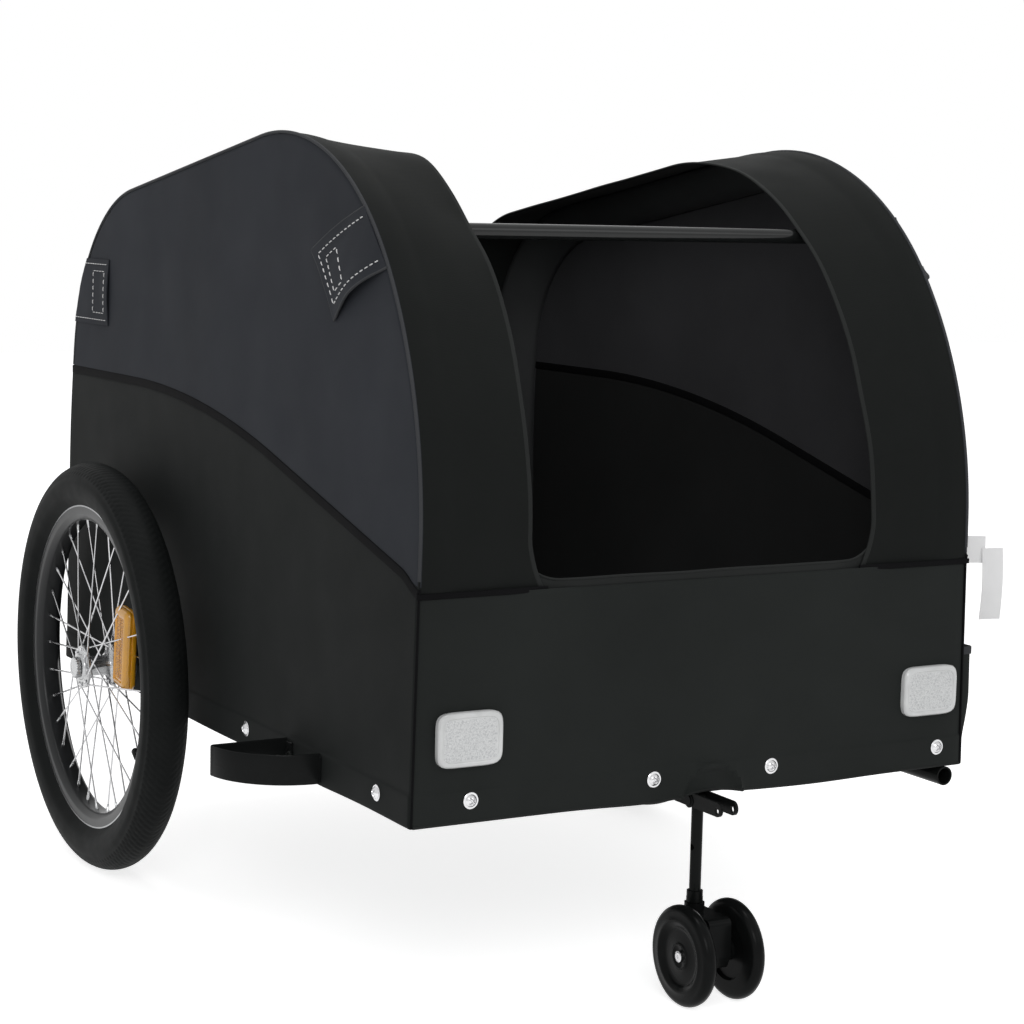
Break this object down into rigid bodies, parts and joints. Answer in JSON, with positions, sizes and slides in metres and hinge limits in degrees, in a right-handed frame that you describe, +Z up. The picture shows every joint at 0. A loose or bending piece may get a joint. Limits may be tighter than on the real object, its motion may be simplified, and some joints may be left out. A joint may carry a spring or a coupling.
{
  "type": "bicycle cargo trailer",
  "caption": "Two-wheeled bicycle cargo trailer: open-topped sewn body on a tube frame, spoked wheels on fixed stub axles and a forward-folding twin castor.",
  "frame": {"origin": "on the ground under the middle of the whole trailer's bounding box", "axes": "+Z up, front of the trailer towards -Y, trailer's left towards +X"},
  "size_m": [0.694, 0.8585, 0.7159],
  "materials": {
    "black_cloth": "coated woven polyester",
    "charcoal_cloth": "coated woven polyester",
    "label_ribbon": "satin ribbon, blank",
    "frame_steel": "gloss black powder coat",
    "floor_plastic": "grained",
    "clear_reflector": "prismatic",
    "red_reflector": "prismatic",
    "guard_plastic": "satin",
    "bright_steel": "bright zinc",
    "tyre_rubber": "treaded",
    "rim_black": "semi-gloss black",
    "hub_alloy": "polished",
    "amber_reflector": "prismatic",
    "castor_plastic": "gloss"
  },
  "bodies": {
    "chassis": {"side_rail_left": "frame_steel", "side_rail_right": "frame_steel", "front_rail": "frame_steel", "rear_rail": "frame_steel", "cross_tubes": "frame_steel", "floor_board": "floor_plastic", "hoop_left": "frame_steel", "hoop_right": "frame_steel", "cross_bar": "frame_steel", "upper_side_panel_left": "charcoal_cloth", "upper_side_panel_right": "charcoal_cloth", "lower_side_panel_left": "black_cloth", "lower_side_panel_right": "black_cloth", "front_panel": "black_cloth", "rear_panel": "black_cloth", "arch_band_left": "black_cloth", "arch_band_right": "black_cloth", "front_flaps": "charcoal_cloth", "rear_flaps": "charcoal_cloth", "flag_pocket": "black_cloth", "blank_label": "label_ribbon", "front_reflectors": "clear_reflector", "rear_reflectors": "red_reflector", "wheel_guard_left": "guard_plastic", "wheel_guard_right": "guard_plastic", "axle_left": "bright_steel", "axle_right": "bright_steel", "tow_bar_socket": "frame_steel", "castor_bracket": "frame_steel", "castor_pivot_pin": "bright_steel"},
    "left_wheel": {"tyre_left": "tyre_rubber", "rim_left": "rim_black", "hub_left": "hub_alloy", "spokes_left": "bright_steel", "spoke_reflector_left": "amber_reflector"},
    "right_wheel": {"tyre_right": "tyre_rubber", "rim_right": "rim_black", "hub_right": "hub_alloy", "spokes_right": "bright_steel", "spoke_reflector_right": "amber_reflector"},
    "folding_strut": {"castor_strut": "frame_steel"},
    "castor_head": {"castor_fork": "castor_plastic"},
    "castor_wheel_pair": {"castor_wheels": "castor_plastic", "castor_axle": "bright_steel"}
  },
  "joints": [
    {"name": "left_wheel_spin", "type": "hinge", "parent": "chassis", "child": "left_wheel", "pos_m": [0.311, 0.22925, 0.2], "axis": [1, 0, 0], "continuous": true},
    {"name": "right_wheel_spin", "type": "hinge", "parent": "chassis", "child": "right_wheel", "pos_m": [-0.311, 0.22925, 0.2], "axis": [1, 0, 0], "continuous": true},
    {"name": "strut_fold", "type": "hinge", "parent": "chassis", "child": "folding_strut", "pos_m": [0, -0.36425, 0.168], "axis": [-1, 0, 0], "range_deg": [0, 90]},
    {"name": "castor_swivel", "type": "hinge", "parent": "folding_strut", "child": "castor_head", "pos_m": [0, -0.36425, 0.08], "axis": [0, 0, 1], "continuous": true},
    {"name": "castor_spin", "type": "hinge", "parent": "castor_head", "child": "castor_wheel_pair", "pos_m": [0, -0.38675, 0.0425], "axis": [1, 0, 0], "continuous": true}
  ]
}
